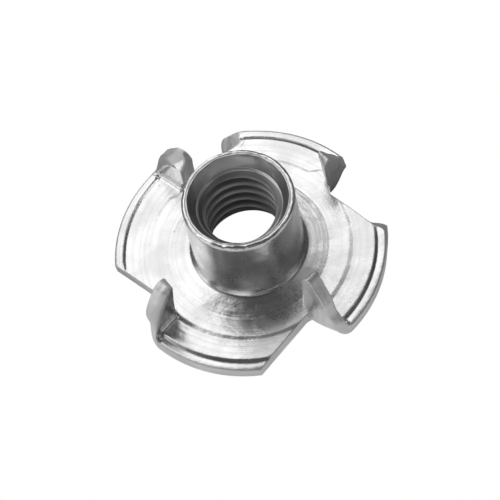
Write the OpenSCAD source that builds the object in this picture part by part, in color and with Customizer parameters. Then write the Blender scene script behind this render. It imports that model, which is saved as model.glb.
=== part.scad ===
// Four-prong tee nut for wood, M6, pressed from one piece of steel sheet.
// The sheet is drawn up into a barrel, the barrel is tapped, and the rim of the
// flange is sheared along four straight cuts whose free ends fold up into prongs.
// The nut stands on its flange: the underside is z = 0 and the barrel points up +Z.

/* [Flange] */
// Diameter over the round rims of the lobes
flange_dia = 19; // [18:0.25:24]
// Thickness of the sheet, measured at the main face of the flange
sheet = 1.1; // [0.9:0.05:1.3]
// Width of the thinner band coined around the rim
rim_band = 0.6; // [0.4:0.05:0.8]
// How far the rim band lies below the main face
rim_drop = 0.14; // [0.08:0.02:0.3]
// Radial width of the slope down to the rim band
rim_slope = 0.28; // [0.1:0.02:0.4]
// Radius of the rolled-over top edge of the rim
rim_round = 0.18; // [0.1:0.02:0.3]
// Diameter of the raised inner field of the flange
field_dia = 14.6; // [14:0.1:15.4]
// How far the inner field stands above the main face
field_rise = 0.05; // [0.02:0.01:0.15]
// Radial width of the soft slope round the inner field
field_slope = 0.45; // [0.2:0.05:0.8]

/* [Prongs] */
// Number of prongs around the flange
prong_count = 4; // [3:1:5]
// Distance from the nut's axis to the straight sheared cut of each prong
shear_distance = 6.55; // [6.2:0.05:7.2]
// Distance from the foot of the cut to the start of the fold
fold_start = 0.5; // [0.3:0.05:0.9]
// Inside radius of the fold
fold_radius = 0.3; // [0.2:0.05:0.6]
// Angle in degrees by which the prongs are folded past upright
lean = 3; // [0:1:8]
// Gap between the straight cut and the foot of the prong's cut side
side_gap = 0.1; // [0.05:0.05:0.3]
// Slope in degrees of the prong's cut side, narrower on the inner face
side_draft = 20; // [0:2:26]
// Radius of the blunt tip
tip_radius = 0.8; // [0.5:0.05:1]
// Length of the bevel pressed into the inner face of the tip
tip_bevel = 1; // [0.6:0.1:2]
// Thickness of the sheet at the end of the tip
tip_sheet = 0.6; // [0.4:0.05:0.8]

/* [Barrel] */
// Outside diameter of the barrel
barrel_dia = 7.8; // [7.6:0.05:8.6]
// Height of the barrel's rim above the underside of the flange
nut_height = 8; // [7:0.25:12]
// Radius of the fillet at the foot of the barrel
foot_fillet = 0.4; // [0.2:0.05:0.6]
// Diameter at which the hub cone around the barrel meets the inner field
hub_dia = 11.1; // [10.6:0.1:12]
// Slope of the hub cone in degrees
hub_slope = 11; // [5:1:16]
// Radius of the rounded outer edge of the barrel's rim
mouth_round = 0.26; // [0.1:0.02:0.3]

/* [Bore] */
// Nominal diameter of the thread
thread_dia = 6; // [5.8:0.1:6.2]
// Pitch of the thread
thread_pitch = 1; // [0.5:0.25:1.25]
// Diameter of the countersink at the barrel's rim
mouth_dia = 6.9; // [6.5:0.05:6.95]
// Depth at which the countersink has narrowed to the thread's diameter
countersink_depth = 0.72; // [0.4:0.04:1.6]
// Radius of the funnel where the sheet turns up into the barrel
funnel_radius = 1.8; // [1.4:0.1:2.2]
// Diameter of the funnel's throat, just under the thread
throat_dia = 5.6; // [5.5:0.05:5.9]

/* [Hidden] */
$fn = 64;

// Play that keeps cutting tools clear of the faces they cut through
over = 1;

flange_r = flange_dia / 2;
field_r = field_dia / 2;
barrel_r = barrel_dia / 2;
hub_r = hub_dia / 2;

// Heights of the three levels of the flange's top
band_z = sheet - rim_drop;
field_z = sheet + field_rise;

// Minor diameter of a metric internal thread: the bore the tap leaves on its crests
minor_share = 1.0825;
minor_r = (thread_dia - minor_share * thread_pitch) / 2;
thread_r = thread_dia / 2;
throat_r = throat_dia / 2;
mouth_r = mouth_dia / 2;

// The countersink ends in a flatter lead-in cone down to the thread's crests
lead_in_slope = 30;
lead_in_z = nut_height - countersink_depth;
crest_z = lead_in_z - (thread_r - minor_r) * tan(lead_in_slope);

// Neutral layer of the fold, as a share of the sheet from its inner face
neutral_share = 0.4;
fold_length = (90 + lean) * PI / 180 * (fold_radius + neutral_share * sheet);
fold_axis_z = sheet + fold_radius;

// Height at which the centre of the blank comes to lie once a prong is folded up
blank_z = fold_axis_z - fold_start - fold_length;

// Centre of the blunt tip, touching the cut and the rim of the blank from inside
tip_x = shear_distance + tip_radius;
tip_rise = sqrt(pow(flange_r - tip_radius, 2) - pow(tip_x, 2));
tip_z = blank_z + tip_rise;
rim_touch = [0, blank_z] + [tip_x, tip_rise] * flange_r / (flange_r - tip_radius);

// Height of the tip's end above the axis of the fold
wall_rise = tip_z + tip_radius - fold_axis_z;

// Centre of the fillet between the barrel and the hub cone
fillet_x = barrel_r + foot_fillet;
fillet_z = field_z + (hub_r - fillet_x) * tan(hub_slope) + foot_fillet / cos(hub_slope);

// Half section of the flange with its coined steps, in radius and height
module flange_section() {
    band_r = flange_r - rim_band;
    polygon([
        [0, 0], [flange_r, 0], [flange_r, band_z - rim_round],
        [flange_r - rim_round, band_z], [band_r, band_z],
        [band_r - rim_slope, sheet], [field_r, sheet],
        [field_r - field_slope, field_z], [0, field_z]
    ]);
    translate([flange_r - rim_round, band_z - rim_round]) circle(rim_round);
}

// Half section of the hub cone, filleted into the foot of the barrel
module hub_section() {
    touch = [fillet_x - foot_fillet * sin(hub_slope), fillet_z - foot_fillet * cos(hub_slope)];
    difference() {
        polygon([[0, 0], [hub_r, 0], [hub_r, field_z], touch, [barrel_r, fillet_z], [0, fillet_z]]);
        translate([fillet_x, fillet_z]) circle(foot_fillet);
    }
}

// Half section of the barrel, solid to the axis, with its outer edge rounded
module barrel_section() {
    square([barrel_r, nut_height - mouth_round]);
    square([barrel_r - mouth_round, nut_height]);
    translate([barrel_r - mouth_round, nut_height - mouth_round]) circle(mouth_round);
}

// Half section of everything cut out of the middle: countersink, thread core and funnel
module bore_section() {
    polygon([
        [0, -over], [throat_r, -over], [throat_r, funnel_radius],
        [minor_r, funnel_radius + (throat_r - minor_r)], [minor_r, crest_z],
        [thread_r, lead_in_z], [mouth_r, nut_height], [mouth_r, nut_height + over],
        [0, nut_height + over]
    ]);
    difference() {
        translate([0, -over]) square([throat_r + funnel_radius, funnel_radius + over]);
        translate([throat_r + funnel_radius, funnel_radius]) circle(funnel_radius);
    }
}

// Outline of the blank with the free ends of the cuts taken away
module lobes_outline() {
    difference() {
        circle(flange_r);
        for (i = [0 : prong_count - 1]) rotate(prong_angle(i))
            translate([shear_distance, -fold_start - flange_r]) square([flange_r, flange_r]);
    }
}

// Direction of the foot of each cut, counted around the flange
function prong_angle(i) = 180 / prong_count + i * 360 / prong_count;

// Section across the fold: a root that laps into the lobe, the bend and the prong's wall
module fold_section() {
    outer = fold_radius + sheet;
    translate([-fold_start, 0]) square([fold_start, band_z]);
    translate([-fold_start, fold_axis_z]) {
        intersection() {
            difference() {
                circle(outer);
                circle(fold_radius);
            }
            polygon([[0, 0], [0, -2 * outer], [-2 * outer, -2 * outer], [-2 * outer, 2 * outer * tan(lean)]]);
        }
        rotate(-lean) polygon([
            [-outer, 0], [-fold_radius, 0], [-fold_radius, wall_rise - tip_bevel],
            [tip_sheet - outer, wall_rise], [tip_sheet - outer, wall_rise + over],
            [-outer, wall_rise + over]
        ]);
    }
}

// Side of the prong: the straight cut, the rim of the blank stood on end and the blunt tip
module horn_outline() {
    intersection() {
        translate([0, blank_z]) circle(flange_r);
        polygon([[shear_distance, 0], [shear_distance, tip_z], rim_touch, [flange_r, tip_z], [flange_r, 0]]);
    }
    translate([tip_x, tip_z]) circle(tip_radius);
}

// Plan of the prong: the rim of the blank and the sloping cut side, widest at the outer face
module prong_plan() {
    wall_y = -fold_start - fold_radius - sheet;
    function side_x(y) = shear_distance + side_gap + (y - wall_y) * tan(side_draft);
    intersection() {
        circle(flange_r);
        polygon([[side_x(-flange_r), -flange_r], [flange_r, -flange_r], [flange_r, over], [side_x(over), over]]);
    }
}

// One prong: the section run out along the fold, cut to its side view and to its plan
module prong() {
    intersection() {
        translate([shear_distance, 0, 0]) rotate([90, 0, 90])
            linear_extrude(flange_r - shear_distance) fold_section();
        translate([0, over, 0]) rotate([90, 0, 0]) linear_extrude(flange_r) horn_outline();
        linear_extrude(nut_height) prong_plan();
    }
}

module tee_nut() {
    color("gainsboro") {
        difference() {
            intersection() {
                rotate_extrude() {
                    flange_section();
                    hub_section();
                    barrel_section();
                }
                linear_extrude(nut_height) lobes_outline();
            }
            rotate_extrude() bore_section();
        }
        for (i = [0 : prong_count - 1]) rotate(prong_angle(i)) prong();
    }
}

tee_nut();
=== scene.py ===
"""Four-prong tee nut: the pressed blank, folded and tapped, with its zinc finish and a small studio."""
import math

import bmesh
import bpy
from mathutils import Matrix, Vector, geometry, noise


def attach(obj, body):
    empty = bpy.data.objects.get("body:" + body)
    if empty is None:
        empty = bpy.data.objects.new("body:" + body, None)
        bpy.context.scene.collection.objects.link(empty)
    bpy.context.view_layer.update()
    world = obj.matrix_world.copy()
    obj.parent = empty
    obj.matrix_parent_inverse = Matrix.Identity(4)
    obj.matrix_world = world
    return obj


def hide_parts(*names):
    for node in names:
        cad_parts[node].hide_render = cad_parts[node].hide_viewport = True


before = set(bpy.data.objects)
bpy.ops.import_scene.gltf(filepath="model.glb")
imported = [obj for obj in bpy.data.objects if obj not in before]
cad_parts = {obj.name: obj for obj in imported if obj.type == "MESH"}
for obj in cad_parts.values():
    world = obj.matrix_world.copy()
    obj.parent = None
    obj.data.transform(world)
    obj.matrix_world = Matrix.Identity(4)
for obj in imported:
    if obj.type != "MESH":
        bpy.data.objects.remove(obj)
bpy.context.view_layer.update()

bl_info = {
    "name": "Tee Nut Builder",
    "version": (1, 0, 0),
    "blender": (4, 5, 0),
    "location": "3D View > Sidebar > Tee Nut",
    "description": "Builds a zinc plated four-prong tee nut and a plain studio for it",
    "category": "Add Mesh",
}

MM = 0.001
DEG = math.pi / 180
# Millimetres in a metre, for meshing and textures that are worked out in millimetres
IN_MM = 1000
# Two places closer than this count as one
HAIR = 0.001 * MM
# Points closer than these are welded: within a part, and where the parts of the nut meet
PART_WELD = 0.002 * MM
JOINT_WELD = 0.004 * MM
# Edges shorter than this are taken out of the finished nut
SLIVER = 0.0005 * MM
# Edges steeper than this are shaded sharp
SHARP_ANGLE = 38 * DEG
# How far a metric thread's minor diameter lies inside its nominal one, in pitches
MINOR_SHARE = 1.0825


# ---------------------------------------------------------------- settings

def length(name, description, default_mm):
    """A length property, given in millimetres and kept in metres."""
    return bpy.props.FloatProperty(
        name=name, description=description, default=default_mm * MM,
        unit="LENGTH", subtype="DISTANCE", precision=5)


def angle(name, description, default_deg):
    """An angle property, given in degrees and kept in radians."""
    return bpy.props.FloatProperty(
        name=name, description=description, default=default_deg * DEG,
        unit="ROTATION", subtype="ANGLE")


def per_prong(name, description, values, unit="NONE"):
    """Values for the prongs in turn: millimetres, degrees or, without a unit, plain factors."""
    scale = {"LENGTH": MM, "ROTATION": DEG, "NONE": 1}[unit]
    return bpy.props.FloatVectorProperty(
        name=name, description=description, default=[v * scale for v in values],
        size=len(values), unit=unit, precision=5)


def colour(name, description, default):
    """A colour property with its alpha."""
    return bpy.props.FloatVectorProperty(
        name=name, description=description, default=default,
        size=4, min=0, max=1, subtype="COLOR")


def amount(name, description, default, **extra):
    """A plain number property."""
    return bpy.props.FloatProperty(name=name, description=description, default=default, **extra)


def factor(name, description, default):
    """A number property between 0 and 1."""
    return amount(name, description, default, min=0, max=1, subtype="FACTOR")


def count(name, description, default, low):
    """A whole number property with its lowest value."""
    return bpy.props.IntProperty(name=name, description=description, default=default, min=low)


class TeeNutSizes(bpy.types.PropertyGroup):
    """Sizes of the nut, from the flange inwards to the bore."""
    flange_dia: length("Flange Diameter", "Diameter over the round rims of the lobes", 19)
    sheet: length("Sheet", "Thickness of the sheet at the main face of the flange", 1.1)
    rim_band: length("Rim Band", "Width of the thinner band coined around the rim", 0.6)
    rim_drop: length("Rim Drop", "How far the rim band lies below the main face", 0.12)
    field_dia: length("Field Diameter", "Diameter of the raised inner field", 14.6)
    field_rise: length("Field Rise", "How far the inner field stands above the main face", 0.06)
    field_slope: length("Field Slope", "Radial width of the soft slope round the inner field", 0.45)
    rim_slope: length("Rim Slope", "Radial width of the slope down to the rim band", 0.26)
    groove_depth: length("Groove Depth", "Depth of the fine groove at the foot of the rim slope", 0.02)
    groove_width: length("Groove Width", "Width of the fine groove at the foot of the rim slope", 0.12)
    rim_round: length("Rim Round", "Radius of the rolled-over top edge of the rim", 0.17)
    corner_round: length("Corner Round", "Radius of the outer corner of each lobe", 0.18)

    prong_count: count("Prongs", "Number of prongs around the flange", 4, 3)
    shear_distance: length("Shear Distance", "Distance from the axis to each straight cut", 6.55)
    fold_start: length("Fold Start", "Distance from the foot of the cut to the fold", 0.5)
    fold_radius: length("Fold Radius", "Inside radius of the fold", 0.3)
    lean: angle("Lean", "Angle by which the prongs are folded past upright", 3)
    lean_extra: per_prong("Extra Lean", "Further lean of each prong", (1, -3, 1, 7), "ROTATION")
    widen: per_prong("Widening", "How far each prong's cut side bulges towards the barrel",
                     (0.16, 0.45, 0.1, 0.48), "LENGTH")
    tip_shift: per_prong("Tip Shift", "How far each prong's tip lies nearer the barrel",
                         (0.1, 0.5, 0.25, 0.6), "LENGTH")
    slant: per_prong("Slant", "Extra slope in plan of each prong's cut, on both sides of it",
                     (0.45, -0.22, 0, 0))
    narrow: per_prong("Narrowing", "How far each prong's back is drawn in towards the barrel",
                      (0.35, 0, 0, 0.5), "LENGTH")
    pinch: per_prong("Pinch", "How much thinner each fold is at the rim, on its outer face",
                     (0.5, 0.1, 0.1, 0.3), "LENGTH")
    stretch: per_prong("Stretch", "Height of each prong, as a share of the common height",
                       (0.85, 0.98, 1, 1.03))
    bevels: per_prong("Bevels", "Depth of each tip's bevel, as a share of the common depth",
                      (0.4, 1.7, 0.4, 0.4))
    tear: per_prong("Torn Corner", "How strongly the lobe's corner across each window is torn",
                    (0.75, 1, 0, 0))
    tear_out: length("Tear Out", "How far the lower edge of a torn corner stands out", 0.25)
    tear_in: per_prong("Tear In", "How far the upper edge of each torn corner is drawn in",
                       (0.2, 0.75, 0, 0), "LENGTH")
    side_gap: length("Side Gap", "Gap between the cut and the prong's outer face", 0.1)
    side_draft: angle("Side Draft", "Slope of the prong's cut side, narrower on the inner face", 20)
    tip_radius: length("Tip Radius", "Radius of the blunt tip", 0.8)
    tip_bevel: length("Tip Bevel", "Length of the bevel pressed into the inner face of the tip", 1)
    tip_sheet: length("Tip Thickness", "Thickness of the sheet at the end of the tip", 0.6)
    knob_radius: length("Knob Radius", "Radius of the lump where the fold crowds up at the rim", 0.38)
    knob_height: length("Knob Height", "Height of the lump where the fold crowds up at the rim", 0.14)
    fold_shrink: length("Fold Shrink", "How far the outer corner of the fold is drawn in at the rim", 0.55)
    fold_thin: length("Fold Thinning", "How much thinner the sheet is drawn in the fold at the rim", 0.15)
    back_bevel: length("Back Bevel", "Width of the bevel on the inner face along the prong's back", 0.6)

    barrel_dia: length("Barrel Diameter", "Outside diameter of the barrel", 7.8)
    nut_height: length("Height", "Height of the barrel's rim above the underside", 8)
    foot_fillet: length("Foot Fillet", "Radius of the fillet at the foot of the barrel", 0.4)
    hub_dia: length("Hub Diameter", "Diameter at which the hub cone meets the inner field", 11.1)
    hub_slope: angle("Hub Slope", "Slope of the hub cone", 11)
    mouth_round: length("Mouth Round", "Radius of the outer edge of the barrel's rim", 0.26)

    thread_dia: length("Thread Diameter", "Nominal diameter of the thread", 6)
    thread_pitch: length("Thread Pitch", "Pitch of the thread", 1)
    thread_phase: factor("Thread Phase", "Where the thread starts, as a share of a turn", 0.4)
    mouth_dia: length("Mouth Diameter", "Diameter of the countersink at the barrel's rim", 6.9)
    countersink_depth: length("Countersink Depth", "Depth at which the countersink meets the thread", 1.1)
    ledge: length("Ledge", "Width of the ledge at the foot of the countersink", 0.18)
    ledge_slope: angle("Ledge Slope", "Slope of the ledge down to the tapped bore", 34)
    entry_dia: length("Entry Diameter", "Diameter of the tapped bore at the ledge", 5.64)
    lead_in: angle("Lead-in", "Steepness of the cone in which the first crests run out", 52)
    funnel_radius: length("Funnel Radius", "Radius where the sheet turns up into the barrel", 1.8)
    throat_dia: length("Throat Diameter", "Diameter just under the thread", 5.6)
    columns: count("Columns", "Faces around the axis, a multiple of the number of prongs", 192, 24)


class TeeNutFinish(bpy.types.PropertyGroup):
    """Colours and gloss of the zinc plate."""
    plate_colour: colour("Plate Colour", "Colour of the plated faces", (0.80, 0.80, 0.805, 1))
    cut_colour: colour("Cut Colour", "Colour of the sheared edges", (0.78, 0.78, 0.785, 1))
    # The bore's dark colour is partly its thinner plate and partly painted shade; the crest colour is a
    # painted highlight
    thread_colour: colour("Thread Colour", "Colour of the tapped bore", (0.3, 0.3, 0.305, 1))
    crest_highlight_colour: colour("Crest Colour", "Colour of the thread's worn crests", (0.85, 0.85, 0.855, 1))
    stain_colour: colour("Stain Colour", "Colour of the duller patches of plate", (0.60, 0.60, 0.61, 1))
    plate_roughness: factor("Plate Roughness", "Gloss of the plated faces", 0.22)
    mouth_roughness: factor("Mouth Roughness", "Gloss of the countersink and the rim", 0.32)
    cut_roughness: factor("Cut Roughness", "Gloss of the sheared edges", 0.5)


class TeeNutStage(bpy.types.PropertyGroup):
    """Camera and floor."""
    azimuth: angle("Azimuth", "Camera's turn to the right around the nut", 6.4)
    elevation: angle("Elevation", "Camera's height above the horizon", 60.7)
    roll: angle("Roll", "Turn of the picture about the line of sight", -13.95)
    distance: length("Distance", "Distance from the camera to the foot of the nut", 240.2)
    aim_right: length("Aim Right", "Sideways offset of the camera", -0.117)
    aim_up: length("Aim Up", "Upward offset of the camera", 0.336)
    lens: amount("Lens", "Focal length in millimetres on a 36 mm sensor", 248.6, unit="CAMERA")
    floor_size: length("Floor Size", "Width of the floor", 3000)
    # To all but the camera the floor is grey, a painted shade that darkens its reflections
    floor_shade_colour: colour("Floor Colour", "Colour of the floor", (0.45, 0.45, 0.45, 1))
    floor_glow: amount("Floor Glow", "Light that the front of the floor adds to reflections", 0.45)


# ---------------------------------------------------------------- small helpers

def add_object(name, mesh):
    """Puts a mesh into the scene as an object at the origin."""
    obj = bpy.data.objects.new(name, mesh)
    bpy.context.scene.collection.objects.link(obj)
    return obj


def plain_mesh(work, name):
    """Turns a working bmesh into a mesh and frees it."""
    mesh = bpy.data.meshes.new(name)
    work.to_mesh(mesh)
    work.free()
    return mesh


def spread(start, end, steps):
    """Evenly spaced values from start to end, both included."""
    return [start + (end - start) * i / steps for i in range(steps + 1)]


def ease(t):
    """Smooth step from 0 to 1."""
    t = max(0.0, min(1.0, t))
    return t * t * (3 - 2 * t)


def heading(a):
    """Unit vector in plan, at an angle from the x axis."""
    return Vector((math.cos(a), math.sin(a)))


def direction(azimuth, elevation):
    """Unit vector from the nut: azimuth 0 is in front of it and a quarter turn is to its right."""
    flat = math.cos(elevation)
    return Vector((math.sin(azimuth) * flat, -math.cos(azimuth) * flat, math.sin(elevation)))


def minor_radius(s):
    """Radius of the hole that the tap leaves at the thread's crests."""
    return (s.thread_dia - MINOR_SHARE * s.thread_pitch) / 2


def well_inside(p, segments, margin):
    """Whether a point lies inside a closed outline and at least a margin away from it."""
    odd = False
    for a, b in segments:
        if (a.y > p.y) != (b.y > p.y) and p.x < a.x + (p.y - a.y) * (b.x - a.x) / (b.y - a.y):
            odd = not odd
        share = max(0.0, min(1.0, geometry.intersect_point_line(p, a, b)[1]))
        if (a + (b - a) * share - p).length < margin:
            return False
    return odd


# ---------------------------------------------------------------- the blank

class Blank:
    """One quarter of the flat sheet, as it lies before the prong is folded up.

    All of it is in metres, in the local frame of one prong: x runs out along the direction
    of the foot of the cut, the fold is the line y = -fold_start, and the cut is the line
    x = shear_distance below it, which slants outwards beside the foot of the prong."""

    # Neutral layer of the fold, as a share of the sheet from its inner face
    NEUTRAL = 0.4
    # Where the coined steps fade out: the rim band into the fold, the groove at the next cut
    BAND_FADE = 0.9 * MM
    GROOVE_FADE = 0.45 * MM
    # Height up the wall over which the drawn-in corner of the fold fades
    SHRINK_FADE = 1.2 * MM
    # The bevel on the prong's back: where it starts, as a share of the fold, and how it grows
    BACK_START = 0.7
    BACK_CLIMB = 1.8 * MM

    # Sheared edges: width and depth of the rolled-over upper edge, and its depth alone at the
    # foot of a cut, round the rim and along the bevelled back; depths are shares of the sheet
    CUT_ROLL = {"cut": (0.12 * MM, 0.14), "lobe": (0.05 * MM, 0.06)}
    SHARP_ROLL, RIM_ROLL, BEVEL_ROLL = 0.06, 0.19, 0.4
    # Below it the edge is burnished to the middle of the sheet and torn a little deeper from
    # there, with a soft lower corner: (inset as a multiple of TORN, share of the sheet)
    TORN = 0.025 * MM
    TORN_EDGE = ((0, 0.42), (0, 0.5), (1, 0.545), (1.3, 0.75), (1.5, 0.93), (2.5, 0.975), (4.5, 1))
    # Length from its foot over which a cut comes to this section
    CUT_FADE = 0.4 * MM
    # The gap beside the prong: at its foot, and where along the cut it grows to its full width
    FOOT_GAP = 0.02 * MM
    GAP_START = 0.8 * MM
    GAP_GROWTH = 0.9 * MM

    # Small differences between the prongs and windows: where they start or how far they grow
    SLANT_REACH = 1.6 * MM      # to either side of the cut
    SLANT_FADE = 1 * MM         # past the foot of the cut
    PINCH_START = 0.5 * MM      # from the cut towards the rim
    PINCH_GROWTH = 2.2 * MM
    PINCH_CLIMB = 1.8 * MM      # up the wall, until it has faded
    BULGE_WIDTH = 1.8 * MM      # from the cut side towards the back
    BULGE_CLIMB = 1 * MM        # up the wall
    TIP_START = 0.45            # up the wall, as a share of its height
    TIP_GROWTH = 0.5
    BACK_SHARE = 0.8            # how much of the tip's shift the back takes on
    STRETCH_CLIMB = 2 * MM      # up the wall
    TEAR_WIDTH = 1.3 * MM       # where it starts, in from the cut of the lobe
    TEAR_EDGE = 1.2 * MM        # and grows towards it
    TEAR_START = 3.4 * MM       # along the cut, from the direction of its foot
    TEAR_GROWTH = 2.4 * MM
    TEAR_CORNER = 1.4 * MM      # in from the rim
    CORNER_OUT = 2.9            # how much further it stands out at the rim
    CORNER_IN = 0.7             # and how much less it is drawn in
    BURR = 0.25 * MM            # how far its lower edge passes the rim

    # Spokes this close to a turn of the outline, in radians, and rings this close to the foot
    # of the cut are left out
    SPOKE_ROOM = 0.01
    GATE_ROOM = 0.05 * MM
    # Meshing, in millimetres: room kept from the border, and the prong's grid, which starts
    # this far from the cut and keeps clear of the coined steps
    MARGIN = 0.07
    GRID_START = 0.12
    GRID_STEPS = 22
    RING_ROOM = 0.09

    def __init__(self, s):
        self.s = s
        self.rim = s.flange_dia / 2
        self.turn = 2 * math.pi / s.prong_count
        self.wall_y = -s.fold_start - s.fold_radius - s.sheet
        self.draft = math.tan(s.side_draft)
        self.foot = Vector((self.slit(-s.fold_start), -s.fold_start))
        self.foot_angle = math.atan2(self.foot.y, self.foot.x)
        self.hub = s.hub_dia / 2
        self.band = self.rim - s.rim_band
        self.field = s.field_dia / 2
        self.fold_axis = s.sheet + s.fold_radius
        self.neutral = s.fold_radius + self.NEUTRAL * s.sheet
        self.fold_turn = math.pi / 2 + s.lean
        self.fold_length = self.fold_turn * self.neutral
        reach = self.rim - s.tip_radius
        self.tip = Vector((s.shear_distance + s.tip_radius, 0))
        self.tip.y = -math.sqrt(reach ** 2 - self.tip.x ** 2)
        self.tip_end = self.tip.y - s.tip_radius
        # the lump sits just inside the rim, a little way into the fold
        self.knob = Vector((self.rim - s.knob_radius - 0.02 * MM, -s.fold_start - 0.25 * MM))

    def slit(self, y):
        """The cut in plan: straight along the window, slanting outwards beside the prong's foot."""
        return self.s.shear_distance + max(0, y - self.wall_y) * self.draft

    def top(self, x, y):
        """Height of the upper face: the coined levels, the lump in the fold and the tip's bevel."""
        s = self.s
        r = math.hypot(x, y)
        on_prong = x > s.shear_distance - HAIR and y < 0
        flat = 1 - ease((-s.fold_start - y) / self.BAND_FADE) if on_prong else 1
        z = s.sheet
        z -= s.rim_drop * ease((r - self.band + s.rim_slope) / s.rim_slope) * flat
        z += s.field_rise * ease((self.field - r) / s.field_slope)
        groove = s.groove_depth * max(0, 1 - abs(r - self.band) / s.groove_width * 2)
        to_next_cut = s.shear_distance - x * math.cos(self.turn) - y * math.sin(self.turn)
        z -= groove * ease(to_next_cut / self.GROOVE_FADE) * flat
        if on_prong:
            from_knob = math.hypot(x - self.knob.x, y - self.knob.y)
            z += s.knob_height * ease(1 - from_knob / s.knob_radius)
            share = (y - self.tip_end) / s.tip_bevel
            if share < 1:
                z = min(z, s.tip_sheet + (s.sheet - s.tip_sheet) * max(share, 0))
        return z

    def fold(self, x, y, z):
        """Carries a point of the flat blank to its place once the prong is folded up."""
        s = self.s
        run = -s.fold_start - y
        if run <= 0 or x < s.shear_distance - HAIR:
            return Vector((x, y, z))
        turn = min(run / self.neutral, self.fold_turn)
        beyond = max(run - self.fold_length, 0)
        # on the half towards the rim the fold's outer corner is drawn in and thinned; of the
        # drawing in, a tenth is left at the inner face
        fading = math.exp(-(beyond / self.SHRINK_FADE) ** 2)
        across = (x - s.shear_distance) / (self.rim - s.shear_distance)
        drawn = math.sin(min(turn, math.pi / 2)) ** 2 * fading * ease((across - 0.5) / 0.5)
        x -= s.fold_shrink * drawn * (1 - 0.9 * z / s.sheet)
        z += s.fold_thin * drawn * max(0, 1 - z / s.sheet)
        arm = self.fold_axis - z
        return Vector((x, -s.fold_start - arm * math.sin(turn) - beyond * math.cos(turn),
                       self.fold_axis - arm * math.cos(turn) + beyond * math.sin(turn)))

    def settle(self, point, first):
        """Gives a point of the finished nut what differs from one prong or window to the next."""
        s = self.s
        index = round((math.atan2(point.y, point.x) - self.foot_angle - first) / self.turn)
        for i in (index, index + 1, index - 1):
            spin = Matrix.Rotation(first + i * self.turn, 3, "Z")
            local = spin.transposed() @ point
            # a fifth prong is like the first
            which = i % s.prong_count % len(s.slant)
            past_cut = local.x - self.slit(local.y)
            beside = 1 - ease(abs(past_cut) / self.SLANT_REACH)
            beside *= 1 - ease((local.y + s.fold_start) / self.SLANT_FADE)
            near_foot = beside and local.x > self.hub and local.y > self.wall_y
            if near_foot:
                local.x += s.slant[which] * (local.y - self.wall_y) * beside
            if local.y <= -s.fold_start - HAIR:
                if past_cut > HAIR:
                    return spin @ self.settle_prong(local, which)
                at_corner = local.x > s.shear_distance - self.TEAR_WIDTH and local.y < -self.TEAR_START
                if at_corner and s.tear[which]:
                    return spin @ self.settle_corner(local, which)
            if near_foot:
                return spin @ local
        return point

    def settle_prong(self, p, which):
        """Pinches, widens, blunts, stretches and leans one prong, in its local frame."""
        s = self.s
        out, up = -s.fold_start - p.y, p.z - self.fold_axis
        arm = out * math.cos(s.lean) + up * math.sin(s.lean)
        rise = up * math.cos(s.lean) - out * math.sin(s.lean)
        from_cut = p.x - s.shear_distance
        pinch = s.pinch[which] * ease((from_cut - self.PINCH_START) / self.PINCH_GROWTH)
        if rise <= 0:
            # in the bend the lean grows with the turn
            turn = math.atan2(out, -up)
            reach = math.hypot(out, up)
            reach -= pinch * math.sin(turn) ** 2 * (reach - s.fold_radius) / s.sheet
            turn += s.lean_extra[which] * ease(turn / self.fold_turn)
            return Vector((p.x, -s.fold_start - reach * math.sin(turn),
                           self.fold_axis - reach * math.cos(turn)))
        # the wall is worked on upright and leant over last
        height = -s.fold_start - self.tip_end - self.fold_length
        arm -= pinch * (1 - ease(rise / self.PINCH_CLIMB)) * (arm - s.fold_radius) / s.sheet
        depth = self.fold_axis - arm
        share = max(0.0, min(1.0, (height - rise) / s.tip_bevel))
        thick = s.tip_sheet + (s.sheet - s.tip_sheet) * share
        depth *= 1 + (s.sheet / thick - 1) * (1 - s.bevels[which])
        # the cut side bulges, and towards the tip the back goes with it
        near = 1 - ease((from_cut - s.side_gap) / self.BULGE_WIDTH)
        tip = ease((rise / height - self.TIP_START) / self.TIP_GROWTH)
        bulge = s.widen[which] + (s.tip_shift[which] - s.widen[which]) * tip
        bulge *= near + (1 - near) * tip * self.BACK_SHARE
        bulge += s.narrow[which] * (1 - near)
        x = p.x - bulge * ease(rise / self.BULGE_CLIMB)
        rise *= 1 + (s.stretch[which] - 1) * ease(rise / self.STRETCH_CLIMB)
        lean = s.lean + s.lean_extra[which]
        arm = self.fold_axis - depth
        return Vector((x, -s.fold_start - arm * math.cos(lean) + rise * math.sin(lean),
                       self.fold_axis + arm * math.sin(lean) + rise * math.cos(lean)))

    def settle_corner(self, p, which):
        """Shears over the corner of the lobe across a window: drawn in above, torn out below."""
        s = self.s
        low = 1 - p.z / s.sheet
        at_cut = ease((p.x - s.shear_distance + self.TEAR_WIDTH) / self.TEAR_EDGE) ** 2
        at_rim = ease((math.hypot(p.x, p.y) - self.rim + self.TEAR_CORNER) / self.TEAR_CORNER)
        weight = s.tear[which] * at_cut * ease((-p.y - self.TEAR_START) / self.TEAR_GROWTH)
        shift = s.tear_out * low * (1 + self.CORNER_OUT * at_rim)
        shift -= s.tear_in[which] * (1 - low) * (1 - self.CORNER_IN * at_rim)
        burr = 1 + weight * at_rim * low * self.BURR / self.rim
        moved = Matrix.Rotation(-weight * shift / p.y, 3, "Z") @ p
        return Vector((moved.x * burr, moved.y * burr, p.z))

    def outline(self):
        """Outline of the quarter from the foot of its own cut round to the foot of the next.

        Each entry is (point, outward normal, kind, measure): the measure is the distance
        from the nearer foot on a cut, and how far up the prong's back on its tip and back."""
        s = self.s
        path = []

        def add(point, normal, kind, measure):
            path.append((Vector(point), Vector(normal).normalized(), kind, measure))

        def climb(y):
            return ease((-s.fold_start - self.BACK_START * self.fold_length - y) / self.BACK_CLIMB)

        # inner side of the cut, from its foot to the tip
        for y in self.tab_rows():
            if y > self.tip.y + HAIR:
                add((s.shear_distance, y), (-1, 0), "cut", -s.fold_start - y)
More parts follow.
